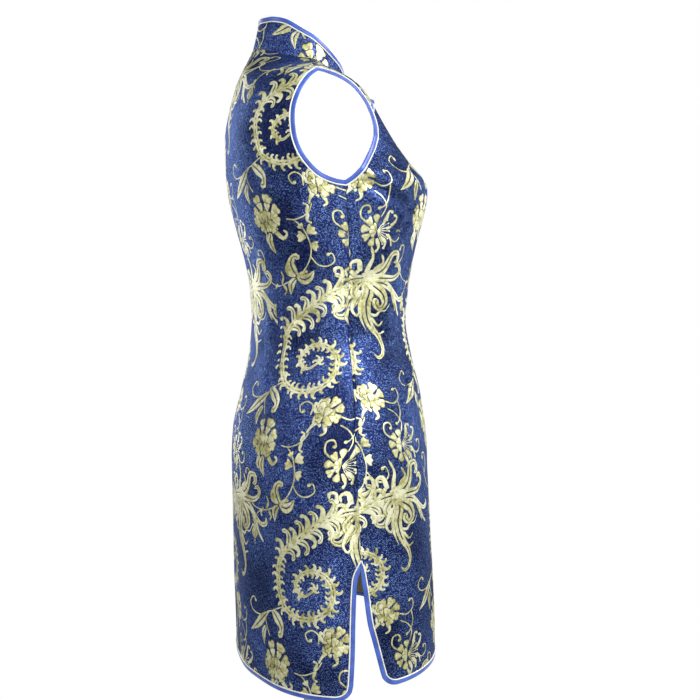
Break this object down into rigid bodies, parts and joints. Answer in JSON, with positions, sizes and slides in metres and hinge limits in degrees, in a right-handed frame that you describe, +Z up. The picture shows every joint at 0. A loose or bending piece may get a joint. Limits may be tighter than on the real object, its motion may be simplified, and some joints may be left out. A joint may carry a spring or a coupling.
{
  "type": "mini dress on a dress form",
  "caption": "Sleeveless fitted satin brocade mini dress with stand collar, bound edges and side slits, on a limbless dress form and stand.",
  "frame": {"origin": "centre of the base's underside, on the pole's axis", "axes": "+Z up; the dress faces -Y; the wearer's right side, with the diagonal edge's end, is -X"},
  "size_m": [0.38, 0.38, 1.432],
  "materials": {
    "brocade": "navy satin brocade with woven gold figures, lined",
    "binding": "blue satin bias binding with a cream piping line",
    "form": "smooth white",
    "steel": "satin metal",
    "base": "satin pale metal"
  },
  "bodies": {
    "root": {"front": "brocade", "chest_right": "brocade", "back": "brocade", "collar": "brocade", "binding_collar": "binding", "binding_diagonal": "binding", "binding_armhole_left": "binding", "binding_armhole_right": "binding", "binding_hem_front": "binding", "binding_hem_back": "binding", "knot_collar": "binding", "knot_diagonal": "binding", "form": "form", "socket": "steel", "pole": "steel", "base": "base"}
  },
  "joints": []
}
